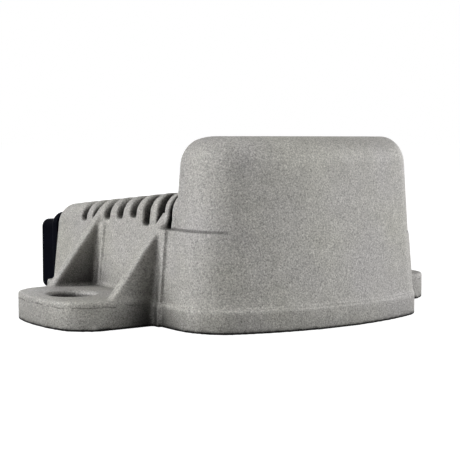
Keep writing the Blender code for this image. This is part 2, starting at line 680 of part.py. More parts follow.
def switches(parts, finishes):
    """Six power transistors under a thermal pad, pressed against the casting's pedestal."""
    places = [(x, y) for y in TRANSISTOR_ROWS for x in TRANSISTOR_COLUMNS]
    for i, (x, y) in enumerate(places):
        body = box(f"power_transistor_{i + 1}", (x - 5.0, y - 2.9, BOARD),
                   (x + 5.0, y + 2.9, BOARD + TRANSISTOR_TOP), parts, finishes["epoxy"])
        bevel(body, 0.3, 1)
    box("thermal_pad", (-PEDESTAL_HALF + 0.5, PEDESTAL_Y[0] + 0.4, BOARD + TRANSISTOR_TOP + GAP),
        (PEDESTAL_HALF - 0.5, PEDESTAL_Y[1] - 0.4, PEDESTAL_FLOOR - GAP), parts, finishes["pad"])


def fuse(parts, finishes):
    """A cylindrical fuse with a metal cap at each end, lying along Y."""
    place = (0.0, BOARD + FUSE_HEIGHT)
    smooth(cylinder("fuse_body", place, 1.6, 9.0, 15.6, parts, finishes["glass"], sides=16, along="Y"))
    for i, start in enumerate((6.7, 15.9)):
        smooth(cylinder(f"fuse_cap_{i + 1}", place, 1.9, start, start + 2.0, parts, finishes["tin"],
                        sides=16, along="Y"))


def small_parts(parts, finishes):
    """Relay, controller, driver chips, surge disc and ceramic capacitors."""
    relay = box("grid_relay", (-6.2, -22.4, BOARD), (6.2, -14.2, BOARD + 8.2), parts, finishes["relay"])
    bevel(relay, 0.5, 2)
    box("controller_chip", (-23.4, -11.4, BOARD), (-20.0, -4.4, BOARD + 1.2), parts, finishes["epoxy"])
    for i, y in enumerate((-12.4, -7.8)):
        box(f"driver_chip_{i + 1}", (20.2, y, BOARD), (23.4, y + 3.6, BOARD + 1.4), parts,
            finishes["epoxy"])
    smooth(cylinder("surge_disc", (0.0, BOARD + 3.3), 3.0, 19.0, 20.6, parts, finishes["disc"],
                    sides=20, along="Y"))
    for i, x in enumerate((-14.0, -10.0)):
        box(f"ceramic_capacitor_{i + 1}", (x - 1.0, -28.6, BOARD), (x + 1.0, -27.0, BOARD + 1.1), parts,
            finishes["ceramic"])


def build():
    clear_scene()
    parts = new_collection("micro_inverter")
    guides = new_collection("guides")
    aluminium = material("cast_aluminium", (0.52, 0.51, 0.48), 0.55, 0.85)
    plate = material("cover_aluminium", (0.60, 0.60, 0.60), 0.45, 0.9)
    rubber = material("black_rubber", (0.02, 0.02, 0.02), 0.8)
    silicone = material("grey_silicone", (0.30, 0.31, 0.33), 0.7)
    steel = material("zinc_steel", (0.62, 0.62, 0.60), 0.35, 1.0)
    nylon = material("black_plastic", (0.006, 0.007, 0.012), 0.45)
    brass = material("tinned_brass", (0.72, 0.70, 0.62), 0.3, 1.0)
    gold = material("gold_plate", (0.80, 0.58, 0.25), 0.3, 1.0)
    board = material("green_board", (0.02, 0.16, 0.06), 0.5)
    finishes = {
        "ferrite": material("ferrite", (0.06, 0.06, 0.065), 0.7),
        "bobbin": material("bobbin_plastic", (0.75, 0.72, 0.62), 0.5),
        "copper": material("enamelled_copper", (0.62, 0.26, 0.10), 0.35, 0.8),
        "tin": material("bright_tin", (0.75, 0.75, 0.74), 0.3, 1.0),
        "epoxy": material("black_epoxy", (0.03, 0.03, 0.032), 0.6),
        "pad": material("thermal_silicone", (0.55, 0.62, 0.70), 0.8),
        "relay": material("relay_plastic", (0.80, 0.79, 0.74), 0.5),
        "glass": material("fuse_ceramic", (0.85, 0.84, 0.80), 0.4),
        "disc": material("surge_coating", (0.10, 0.25, 0.55), 0.5),
        "ceramic": material("chip_ceramic", (0.55, 0.42, 0.28), 0.6),
    }
    sleeve = material("can_sleeve", (0.02, 0.03, 0.05), 0.4)
    film = material("film_case", (0.75, 0.45, 0.06), 0.45)

    housing(parts, guides, aluminium)
    base_cover(parts, guides, plate)
    cover_gasket(parts, guides, rubber)
    screws("cover_screw", COVER_SCREW_PLACES, 2.2, (0.4, COVER_BOTTOM - 0.05), SCREW_SHANK,
           (COVER_BOTTOM, RECESS_TOP + 6.4), parts, steel)
    connector_shell(parts, guides, nylon)
    connector_seal(parts, guides, silicone)
    contacts(parts, brass, gold)
    main_board(parts, guides, board)
    screws("board_screw", PCB_SCREW_PLACES, 2.1, (PCB_BOTTOM - 1.7, PCB_BOTTOM - 0.05), SCREW_SHANK,
           (PCB_BOTTOM, BOARD + 4.9), parts, steel)
    transformer(parts, guides, finishes)
    storage_capacitors(parts, sleeve)
    chokes(parts, guides, finishes)
    film_capacitors(parts, film)
    switches(parts, finishes)
    fuse(parts, finishes)
    small_parts(parts, finishes)


build()
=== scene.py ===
"""Micro inverter: the looks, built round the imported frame.

The casting and the moulded parts are distance fields with true fillets, turned into meshes.
Fields work in millimetres in the frame's axes: +X ear to ear, +Y to the connector, +Z up.
"""
import json
import math

import bmesh
import bpy
import numpy as np
from mathutils import Matrix, Vector


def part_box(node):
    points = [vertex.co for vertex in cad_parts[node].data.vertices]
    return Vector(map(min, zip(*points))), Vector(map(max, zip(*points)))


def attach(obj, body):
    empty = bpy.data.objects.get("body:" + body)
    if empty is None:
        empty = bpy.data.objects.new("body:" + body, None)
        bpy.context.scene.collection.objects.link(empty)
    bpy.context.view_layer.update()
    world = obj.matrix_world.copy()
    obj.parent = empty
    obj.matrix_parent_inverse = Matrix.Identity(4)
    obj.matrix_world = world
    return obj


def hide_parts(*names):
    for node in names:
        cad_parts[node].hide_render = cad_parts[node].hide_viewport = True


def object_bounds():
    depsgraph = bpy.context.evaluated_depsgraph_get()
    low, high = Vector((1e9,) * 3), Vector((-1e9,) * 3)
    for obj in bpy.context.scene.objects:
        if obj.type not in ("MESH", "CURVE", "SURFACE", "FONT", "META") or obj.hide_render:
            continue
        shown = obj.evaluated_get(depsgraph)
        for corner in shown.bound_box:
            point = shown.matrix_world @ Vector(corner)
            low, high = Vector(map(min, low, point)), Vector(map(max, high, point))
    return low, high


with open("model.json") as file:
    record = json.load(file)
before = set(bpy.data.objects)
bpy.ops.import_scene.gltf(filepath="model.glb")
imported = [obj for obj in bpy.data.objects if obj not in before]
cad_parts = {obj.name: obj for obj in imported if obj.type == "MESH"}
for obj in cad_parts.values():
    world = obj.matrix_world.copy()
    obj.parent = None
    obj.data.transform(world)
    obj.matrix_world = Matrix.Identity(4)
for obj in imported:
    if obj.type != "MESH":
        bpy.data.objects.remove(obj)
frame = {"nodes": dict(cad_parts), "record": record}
CAD_LOW, CAD_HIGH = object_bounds()

MM = 0.001


def box_mm(node):
    low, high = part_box(node)
    return np.array(low) / MM, np.array(high) / MM


HOUSING_LOW, HOUSING_HIGH = box_mm("housing")
SHELL_LOW, SHELL_HIGH = box_mm("connector_shell")

# ---- casting, outside ----
FRONT = HOUSING_LOW[1] + 0.04
REAR = HOUSING_HIGH[1]
TOP = HOUSING_HIGH[2]
EAR_END = HOUSING_HIGH[0]
FRONT_RADIUS = 68.0
SKIRT_HALF = 31.3
SKIRT_TOP = 5.0
SHOULDER_TOP = 20.6
SHOULDER_BACK = -23.6
FLASH_Z = 4.9               # where the mould halves met on the ears
TOWER_BACK = -24.85
ROOF_Z_FRONT = 28.8
ROOF_Z_REAR = 23.5
ROOF_SLOPE = (ROOF_Z_REAR - ROOF_Z_FRONT) / (REAR - TOWER_BACK)
REAR_BLOCK_TOP = 24.9
FIN_PITCH = 5.85
SLOT_WIDTH = 3.05
FIRST_SLOT_Y = 15.0
SLOT_FLOOR = (20.4, 20.8, 21.3, 21.8, 22.3, 20.9, 20.9)
EAR_FRONT = -22.75
EAR_BACK = 8.35
EAR_TOP = 6.25
EAR_END_RADIUS = 42.5
EAR_HOLE_X = 43.1
EAR_HOLE_Y = 0.5 * (EAR_FRONT + EAR_BACK)
EAR_HOLE_RADIUS = 5.0
GUSSET_HALF = 1.4
GUSSET_Y = (-21.15, 6.85)
GUSSET_FOOT = (41.6, 6.25)
GUSSET_TOP = (29.2, 22.0)
POST_WIDTH = 2.4
POST_Z = (6.25, 20.8)
POST_FACE = ((31.55, 30.2), (31.0, 29.4))    # foot and top of the forward and the rear post
SKIRT_PAD_X = 32.0
# ---- casting, inside ----
RECESS_HALF = 28.6
RECESS_TOP = 5.4
FRONT_WALL = 2.6
REAR_WALL = 2.2
LEDGE = 2.0
CAVITY_HALF = 26.2
CAVITY_TOP = 18.2
TOWER_CAVITY_HALF = 23.2
TOWER_CAVITY_TOP = 37.7
TOWER_WALL = 2.8
BOSS_RADIUS = 3.0
PCB_BOSS_RADIUS = 2.6
BOSS_HOLE = 1.65
COVER_SCREW_PLACES = ((24.3, 26.2), (24.3, 0.5), (24.3, -25.5))
PCB_SCREW_PLACES = ((22.3, 17.2), (17.5, -22.0))
BOARD = 9.5
PEDESTAL = ((-19.0, -12.0, 14.9), (19.0, 2.4, 19.0))
CASTING_STEP = 0.5
CONNECTOR_STEP = 0.35
SCREW_STEP = 0.17
SCREWS = (("cover_screw", 6, 2.2, 1.55), ("board_screw", 4, 2.1, 1.65))   # name, count, head radius, height
SCREW_RADIUS = 1.25
THREAD_PITCH = 0.7
THREAD_DEPTH = 0.14
WIRE_SIDES = 8
WIRE_UP = (0.137, 0.218, 0.967)      # a direction that no wire runs along
CHOKES = (("output_choke_winding", -12.2, 11.6), ("input_choke_winding", 12.2, 11.6))
CHOKE_RADIUS = (3.9, 7.4)
CHOKE_WIRE = 0.42
CHOKE_TURNS = 26
CHOKE_SWEEP = 312.0
COIL_WIRE = 0.30
COIL_PITCH = 2.06            # in wire radii
CAN_TOP = 34.0
FLAT_ANGLE = 1.0
EDGE_ANGLE = 40.0
SMOOTH_ANGLE = 35.0
PLAIN_EDGE = 0.12
EDGE_WIDTH = {"cover_aluminium": 0.25, "grey_silicone": 0.3, "black_rubber": 0.2, "ferrite": 0.3,
              "relay_plastic": 0.15, "gold_plate": 0.08, "thermal_silicone": 0.2}

# ---- studio ----
CAMERA_PLACE = (-163.1, -239.0, 39.7)
CAMERA_YAW = 34.97
CAMERA_PITCH = 4.32
CAMERA_LENS = 93.25
FLOOR_RADIUS = 8.0
FLOOR_GAP = 0.02
SKY_LIGHT = 0.02
# name, direction, side in metres, power in watts
LIGHTS = (
    ("side_key", (-0.90, 0.25, 0.36), 0.35, 5.2),
    ("back_key", (-0.30, 0.75, 0.60), 0.50, 0.7),
    ("corner_key", (-0.97, -0.16, 0.20), 0.20, 1.5),
    ("fill", (0.62, -0.72, 0.32), 0.65, 6.7),
    ("top", (0.0, 0.2, 1.0), 0.6, 1.4),
    ("rear", (0.30, 0.95, 0.02), 0.30, 2.6),
    ("far_side", (0.97, 0.20, 0.15), 0.40, 2.2),
)


# ---- distance fields ----
def join(a, b, radius):
    """Union with a fillet of that radius."""
    u = np.maximum(radius - a, 0.0)
    v = np.maximum(radius - b, 0.0)
    return np.maximum(radius, np.minimum(a, b)) - np.sqrt(u * u + v * v)


def meet(a, b, radius):
    """Intersection with an edge rounded to that radius."""
    u = np.maximum(radius + a, 0.0)
    v = np.maximum(radius + b, 0.0)
    return np.minimum(-radius, np.maximum(a, b)) + np.sqrt(u * u + v * v)


def cut(a, b, radius):
    """Solid a without solid b, with a rounded edge."""
    return meet(a, -b, radius)


def slab(value, low, high):
    return np.abs(value - 0.5 * (low + high)) - 0.5 * (high - low)


def plan(x, y, half, front, back, corner, back_corner):
    """Body plan: straight sides and back, with the front on one large arc."""
    arc = np.hypot(x, y - (front + FRONT_RADIUS)) - FRONT_RADIUS
    ahead = np.where(y < front + FRONT_RADIUS, arc, -FRONT_RADIUS)
    body = meet(np.abs(x) - half, ahead, corner)
    return meet(body, y - back, back_corner)


def skirt(x, y, z):
    body = meet(plan(x, y, SKIRT_HALF, FRONT, REAR - 0.4, 7.0, 3.2), z - SKIRT_TOP, 0.3)
    pad = meet(np.abs(x) - SKIRT_PAD_X, slab(y, GUSSET_Y[0] - GUSSET_HALF - POST_WIDTH, GUSSET_Y[0]), 0.6)
    return join(body, meet(pad, z - SKIRT_TOP, 0.5), 0.3)


def front_body(x, y, z):
    """The tower, whose front face runs down to the skirt."""
    half = 30.85 - 0.0755 * z
    middle = 0.05 + 0.0175 * z
    front = FRONT + 0.25 + 0.065 * z
    return meet(plan(x - middle, y, half, front, TOWER_BACK, 7.5, 3.0), z - TOP, 5.8)


def shoulder(x, y, z):
    half = 31.6 - 0.086 * z
    front = FRONT + 0.75 + 0.065 * z
    top = SHOULDER_TOP - 0.035 * (x + 28.0)
    return meet(plan(x - 0.35, y, half, front, SHOULDER_BACK, 6.4, 0.7), z - top, 0.35)


def roof(x, y, z):
    """The finned body behind the tower."""
    taper = 0.043 * np.maximum(y - 6.0, 0.0)
    side = (np.abs(x) - (31.1 - 0.112 * z - taper)) / math.hypot(1.0, 0.112)
    top = (z - (ROOF_Z_FRONT + ROOF_SLOPE * (y - TOWER_BACK))) / math.hypot(1.0, ROOF_SLOPE)
    top = np.where(y > FIRST_SLOT_Y, np.maximum(top, z - REAR_BLOCK_TOP), top)
    upper = meet(top, y - REAR, 4.5)
    block = meet(upper, side, 3.8)
    block = np.maximum(block, TOWER_BACK - 1.0 - y)
    for i, floor in enumerate(SLOT_FLOOR):
        middle = FIRST_SLOT_Y - i * FIN_PITCH
        taper = 0.035 * (z - floor)
        slot = meet(np.abs(y - middle) - 0.5 * SLOT_WIDTH - taper + 0.1, floor - z, 0.8)
        block = cut(block, slot, 0.5)
    lean = 0.14 * (z - 20.0)
    groove = meet(slab(y, TOWER_BACK, TOWER_BACK + 2.1 - lean), 20.3 - z, 0.3)
    return cut(block, groove, 0.3)


def ears(x, y, z):
    across = np.abs(x)
    end = np.hypot(across - (EAR_END - EAR_END_RADIUS), y - EAR_HOLE_Y) - EAR_END_RADIUS
    outline = meet(meet(end, EAR_FRONT - y, 5.5), y - EAR_BACK, 5.5)
    plate = meet(outline, z - EAR_TOP, 0.6)
    hole = np.hypot(across - EAR_HOLE_X, y - EAR_HOLE_Y) - EAR_HOLE_RADIUS
    return cut(plate, hole, 0.8)


def gusset(x, y, z, middle):
    """A slanted web whose sides lean in a little towards its edge."""
    run = GUSSET_FOOT[0] - GUSSET_TOP[0]
    rise = GUSSET_TOP[1] - GUSSET_FOOT[1]
    length = math.hypot(run, rise)
    slant = ((np.abs(x) - GUSSET_FOOT[0]) * rise + (z - GUSSET_FOOT[1]) * run) / length
    thick = np.abs(y - middle) - GUSSET_HALF - 0.02 * np.minimum(-slant, 10.0)
    web = meet(slant, thick, 0.55)
    return np.maximum(web, z - 24.0)


def post(x, y, z, middle, foot, top):
    """Upright strip on the side wall that a gusset's forward face runs into."""
    lean = (foot - top) / (POST_Z[1] - POST_Z[0])
    face = np.abs(x) - (foot - lean * (z - POST_Z[0]))
    strip = meet(face, slab(y, middle - GUSSET_HALF - POST_WIDTH, middle), 0.3)
    return meet(strip, z - POST_Z[1], 0.4)


def outside(x, y, z):
    body = join(roof(x, y, z), skirt(x, y, z), 0.2)
    body = join(body, front_body(x, y, z), 0.2)
    body = join(body, shoulder(x, y, z), 0.12)
    body = join(body, ears(x, y, z), 1.0)
    for middle, (foot, top) in zip(GUSSET_Y, POST_FACE):
        body = join(body, post(x, y, z, middle, foot, top), 0.15)
        body = join(body, gusset(x, y, z, middle), 0.5)
    return body


def inside(x, y, z):
    """Cover recess, main cavity under the fins, and the tower's room."""
    front = FRONT + FRONT_WALL
    rear = REAR - REAR_WALL
    recess = meet(plan(x, y, RECESS_HALF, front, rear, 5.0, 3.0), z - RECESS_TOP, 0.2)
    main = plan(x, y, CAVITY_HALF, front + LEDGE, rear - LEDGE, 4.0, 2.5)
    main = meet(main, z - CAVITY_TOP, 1.2)
    room = plan(x, y, TOWER_CAVITY_HALF, front + LEDGE, TOWER_BACK - TOWER_WALL, 4.0, 1.0)
    room = meet(room, z - TOWER_CAVITY_TOP, 1.5)
    return join(np.minimum(recess, main), room, 0.4)


def bosses(x, y, z):
    """Screw bosses and the heat pedestal that hang from the cavity's ceiling."""
    across = np.abs(x)
    low, high = PEDESTAL
    block = meet(meet(across - high[0], slab(y, low[1], high[1]), 1.0), slab(z, low[2], high[2]), 0.5)
    kinds = ((COVER_SCREW_PLACES, BOSS_RADIUS, RECESS_TOP), (PCB_SCREW_PLACES, PCB_BOSS_RADIUS, BOARD))
    for places, radius, start in kinds:
        for px, py in places:
            away = np.hypot(across - px, y - py)
            block = np.minimum(block, meet(away - radius, slab(z, start, high[2]), 0.3))
    return block


def thread_holes(x, y, z):
    across = np.abs(x)
    holes = np.full_like(z, 9.0)
    kinds = ((COVER_SCREW_PLACES, 0.0, 12.4), (PCB_SCREW_PLACES, BOARD - 1.0, BOARD + 5.5))
    for places, low, high in kinds:
        for px, py in places:
            hole = meet(np.hypot(across - px, y - py) - BOSS_HOLE, slab(z, low, high), 0.2)
            holes = np.minimum(holes, hole)
    return holes


def casting(x, y, z):
    body = cut(outside(x, y, z), inside(x, y, z), 0.4)
    body = join(body, bosses(x, y, z), 0.5)
    body = np.maximum(body, -thread_holes(x, y, z))
    window = meet(np.abs(x) - 19.9, slab(z, 6.3, 16.7), 1.6)
    window = np.maximum(window, 20.0 - y)
    body = cut(body, window, 0.3)
    return meet(body, -z, 0.35)


# ---- connector body ----
def round_slot(x, z, half, low, high, radius):
    """A rounded rectangle across the connector's axis."""
    return meet(np.abs(x) - half, slab(z, low, high), radius)


def connector(x, y, z):
    """Collar against the casting, shroud with its mouth, spigot through the window, and contact slots."""
    collar = meet(round_slot(x, z, 26.8, 0.5, 21.5, 3.2), slab(y, 32.6, 35.0), 0.5)
    shroud = meet(round_slot(x, z, 23.8, 0.8, 19.0, 2.0), slab(y, 33.0, SHELL_HIGH[1]), 0.6)
    spigot = meet(round_slot(x, z, 19.6, 6.6, 16.4, 1.8), slab(y, SHELL_LOW[1], 34.0), 0.4)
    body = join(collar, shroud, 0.6)
    body = join(body, spigot, 0.4)
    mouth = meet(round_slot(x, z, 22.0, 2.6, 17.2, 1.2), 36.6 - y, 0.5)
    flare = round_slot(x, z, 22.0, 2.6, 17.2, 1.2) - 0.9 * (y - SHELL_HIGH[1] + 0.9)
    body = cut(body, mouth, 0.35)
    body = np.maximum(body, -np.maximum(flare, 40.0 - y))
    for middle in (7.5, 15.0):
        slot = np.maximum(np.abs(np.abs(x) - middle) - 2.7, np.abs(z - 11.5) - 0.7)
        body = np.maximum(body, -slot)
    for middle in (0.0, 2.6):
        for row in (9.9, 13.1):
            slot = np.maximum(np.abs(np.abs(x) - middle) - 0.62, np.abs(z - row) - 0.62)
            body = np.maximum(body, -slot)
    return body


# ---- field to mesh ----
def surface_of(field, low, high, step):
    """Vertices and quads of a field's zero surface: one vertex in each cell that it crosses."""
    count = [int(math.ceil((h - l) / step)) + 1 for l, h in zip(low, high)]
    axes = [l + step * np.arange(n, dtype=np.float32) for l, n in zip(low, count)]
    values = np.empty(count, np.float32)
    for i in range(count[0]):
        x, y, z = np.meshgrid(axes[0][i:i + 1], axes[1], axes[2], indexing="ij")
        values[i] = field(x, y, z)[0]
    solid = values < 0.0
    shape = [n - 1 for n in count]
    total = np.zeros(shape + [3], np.float32)
    crossings = np.zeros(shape, np.float32)
    corner_pairs = []
    for axis in range(3):
        for a in (0, 1):
            for b in (0, 1):
                start = [0, 0, 0]
                start[(axis + 1) % 3] = a
                start[(axis + 2) % 3] = b
                corner_pairs.append((axis, start))
    for axis, start in corner_pairs:
        end = list(start)
        end[axis] = 1
        first = tuple(slice(s, s + n) for s, n in zip(start, shape))
        second = tuple(slice(s, s + n) for s, n in zip(end, shape))
        crossed = solid[first] != solid[second]
        v0 = values[first][crossed]
        v1 = values[second][crossed]
        point = np.tile(np.array(start, np.float32), (len(v0), 1))
        point[:, axis] = v0 / (v0 - v1)
        total[crossed] += point
        crossings[crossed] += 1.0
    cells = np.argwhere(crossings > 0)
    index = -np.ones(shape, np.int64)
    index[tuple(cells.T)] = np.arange(len(cells))
    middle = total[tuple(cells.T)] / crossings[tuple(cells.T)][:, None]
    points = (cells + middle) * step + np.array(low)
    return points, quads_of(solid, index)


def quads_of(solid, index):
    quads = []
    for axis in range(3):
        u, v = (axis + 1) % 3, (axis + 2) % 3
        first = [slice(1, n - 1) for n in solid.shape]
        second = list(first)
        first[axis] = slice(0, -1)
        second[axis] = slice(1, None)
        before, after = solid[tuple(first)], solid[tuple(second)]
        for leaving in (True, False):
            where = np.argwhere((before != after) & (before == leaving))
            where[:, u] += 1
            where[:, v] += 1
            corner = []
            for du, dv in ((-1, -1), (0, -1), (0, 0), (-1, 0)):
                cell = where.copy()
                cell[:, u] += du
                cell[:, v] += dv
                corner.append(index[tuple(cell.T)])
            face = np.stack(corner, axis=1)
            quads.append(face if leaving else face[:, ::-1])
    return np.concatenate(quads)


def settle(field, points, step, rounds=4):
    """Move each vertex along the field's gradient until it lies on the surface."""
    nudge = 0.25 * step
    for _ in range(rounds):
        x, y, z = points.T
        value = field(x, y, z)
        slope = np.stack([field(x + nudge, y, z) - field(x - nudge, y, z),
                          field(x, y + nudge, z) - field(x, y - nudge, z),
                          field(x, y, z + nudge) - field(x, y, z - nudge)], axis=1) / (2 * nudge)
        size = np.maximum((slope * slope).sum(axis=1), 0.25)
        move = -(value / size)[:, None] * slope
        length = np.linalg.norm(move, axis=1, keepdims=True)
        points = points + move * np.minimum(1.0, 0.5 * step / np.maximum(length, 1e-9))
    return points


def solid_piece(name, field, low, high, step):
    """A mesh object of a field, in metres, smooth shaded."""
    margin = 2.0 * step
    low = np.array(low, float) - margin - 0.37 * step
    high = np.array(high, float) + margin
    points, quads = surface_of(field, low, high, step)
    points = settle(field, points, step)
    mesh = bpy.data.meshes.new(name)
    mesh.vertices.add(len(points))
    mesh.vertices.foreach_set("co", (points * MM).astype(np.float32).ravel())
    mesh.loops.add(quads.size)
    mesh.loops.foreach_set("vertex_index", quads.astype(np.int32).ravel())
    mesh.polygons.add(len(quads))
    mesh.polygons.foreach_set("loop_start", np.arange(0, quads.size, 4, dtype=np.int32))
    mesh.update(calc_edges=True)
    mesh.validate()
    mesh.shade_smooth()
    made = bpy.data.objects.new(name, mesh)
    bpy.context.scene.collection.objects.link(made)
    return made


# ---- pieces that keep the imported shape, with their edges softened ----
def rounded_copy(node, slot, finish, width):
    """A piece that stands for a CAD node: the same shape with edges rounded to that width."""
    mesh = frame["nodes"][node].data.copy()
    mesh.name = node + "_finished"
    made = bpy.data.objects.new(node + "_finished", mesh)
    bpy.context.scene.collection.objects.link(made)
    bm = bmesh.new()
    bm.from_mesh(mesh)
    bmesh.ops.remove_doubles(bm, verts=bm.verts, dist=0.002 * MM)
    flat = math.radians(FLAT_ANGLE)
    bmesh.ops.dissolve_limit(bm, angle_limit=flat, verts=bm.verts, edges=bm.edges)
    edge_angle = math.radians(EDGE_ANGLE)
    sharp = [e for e in bm.edges if e.is_manifold and e.calc_face_angle(0.0) > edge_angle]
    bmesh.ops.bevel(bm, geom=sharp, offset=width * MM, segments=2, profile=0.5, affect="EDGES",
                    clamp_overlap=True)
    bm.to_mesh(mesh)
    bm.free()
    mesh.shade_smooth()
    mesh.set_sharp_from_angle(angle=math.radians(SMOOTH_ANGLE))
    return dress(made, slot, finish, node)


def tube(name, line, radius, slot, finish, node):
    """Round wire along a line of points, in millimetres, with flat ends."""
    line = np.array(line)
    ahead = np.roll(line, -1, axis=0) - np.roll(line, 1, axis=0)
    ahead[0] = line[1] - line[0]
    ahead[-1] = line[-1] - line[-2]
    ahead /= np.linalg.norm(ahead, axis=1, keepdims=True)
    side = np.cross(ahead, WIRE_UP)
    side /= np.linalg.norm(side, axis=1, keepdims=True)
    other = np.cross(ahead, side)
    angles = np.linspace(0.0, 2.0 * math.pi, WIRE_SIDES, endpoint=False)
    rings = [line + radius * (math.cos(a) * side + math.sin(a) * other) for a in angles]
    points = np.stack(rings, axis=1).reshape(-1, 3) * MM
    faces = []
    for i in range(len(line) - 1):
        here = i * WIRE_SIDES
        onward = here + WIRE_SIDES
        for j in range(WIRE_SIDES):
            k = (j + 1) % WIRE_SIDES
            faces.append((here + j, here + k, onward + k, onward + j))
    faces.append(tuple(range(WIRE_SIDES))[::-1])
    faces.append(tuple((len(line) - 1) * WIRE_SIDES + j for j in range(WIRE_SIDES)))
    mesh = bpy.data.meshes.new(name)
    mesh.from_pydata(points.tolist(), [], faces)
    mesh.shade_smooth()
    made = bpy.data.objects.new(name, mesh)
    bpy.context.scene.collection.objects.link(made)
    bm = bmesh.new()
    bm.from_mesh(mesh)
    bmesh.ops.recalc_face_normals(bm, faces=bm.faces)
    bm.to_mesh(mesh)
    bm.free()
    return dress(made, slot, finish, node)


def oblong(share, half_x, half_y, power):
    """Point on a rounded rectangle at a share of a turn."""
    angle = 2.0 * math.pi * share
    c, s = math.cos(angle), math.sin(angle)
    return (half_x * math.copysign(abs(c) ** power, c), half_y * math.copysign(abs(s) ** power, s))


def choke_wire(node, x, y, finish):
    """Turns of wire round a ring core, open at one side."""
    low, high = box_mm(node)
    height = high[2] - low[2]
    middle = 0.5 * (low[2] + high[2])
    inner, outer = CHOKE_RADIUS
    reach = 0.5 * (outer - inner) - CHOKE_WIRE
    line = []
    steps = CHOKE_TURNS * 24
    for i in range(steps + 1):
        turn = math.radians(CHOKE_SWEEP) * i / steps
        across, up = oblong(i / 24.0, reach, 0.5 * height - CHOKE_WIRE, 0.6)
        radius = 0.5 * (inner + outer) + across
        line.append((x + radius * math.cos(turn), y + radius * math.sin(turn), middle + up))
    tube(node + "_wire", line, CHOKE_WIRE, "enamelled_copper", finish, node)


def transformer_wire(node, finish):
    """Turns laid side by side round the bobbin."""
    low, high = box_mm(node)
    middle = 0.5 * (low + high)
    half = 0.5 * (high - low) - COIL_WIRE
    pitch = COIL_PITCH * COIL_WIRE
    turns = int((high[2] - low[2]) / pitch) - 1
    line = []
    for i in range(turns * 32 + 1):
        x, y = oblong(i / 32.0, half[0], half[1], 0.62)
        line.append((middle[0] + x, middle[1] + y, low[2] + COIL_WIRE + i / 32.0 * pitch))
    tube(node + "_wire", line, COIL_WIRE, "enamelled_copper", finish, node)


def screw_field(head_radius, low, high, tip):
    """A pan-head screw that points up, with a hexagonal socket and a rolled thread."""
    def field(x, y, z):
        away = np.hypot(x, y)
        turn = np.arctan2(y, x) / (2.0 * math.pi)
        head = meet(away - head_radius, slab(z, low, high), 0.4)
        wave = THREAD_DEPTH * np.cos(2.0 * math.pi * (z / THREAD_PITCH - turn))
        shank = meet(away - (SCREW_RADIUS - THREAD_DEPTH + wave), slab(z, high - 0.4, tip), 0.3)
        sixth = np.maximum(np.abs(x), 0.5 * np.abs(x) + 0.866 * np.abs(y)) - 0.42 * head_radius
        socket = np.maximum(sixth, z - (low + 0.55 * (high - low)))
        return cut(join(head, shank, 0.1), socket, 0.08)
    return field


def screws(prefix, count, head_radius, head_height, finish):
    """A row of equal screws: one mesh is made on the axis, and each screw is a shifted copy of it."""
    low, high = box_mm(f"{prefix}_1")
    field = screw_field(head_radius, low[2], low[2] + head_height, high[2])
    corner = np.array((head_radius, head_radius, 0.0))
    pattern = solid_piece(f"{prefix}_1_finished", field, (0.0, 0.0, low[2]) - corner,
                          (0.0, 0.0, high[2]) + corner, SCREW_STEP)
    first = Vector(((low[0] + high[0]) / 2, (low[1] + high[1]) / 2, 0.0)) * MM
    pattern.data.transform(Matrix.Translation(first))
    dress(pattern, "zinc_steel", finish, f"{prefix}_1")
    for i in range(2, count + 1):
        name = f"{prefix}_{i}"
        low, high = box_mm(name)
        here = Vector(((low[0] + high[0]) / 2, (low[1] + high[1]) / 2, 0.0)) * MM
        piece = bpy.data.objects.new(name + "_finished", pattern.data.copy())
        bpy.context.scene.collection.objects.link(piece)
        piece.data.transform(Matrix.Translation(here - first))
        dress(piece, "zinc_steel", finish, name)


def dress(piece, slot, finish, *nodes):
    """Give a piece its material and tie it to the frame."""
    piece.data.materials.clear()
    piece.data.materials.append(finish)
    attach(piece, "root")
    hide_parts(*nodes)
    return piece


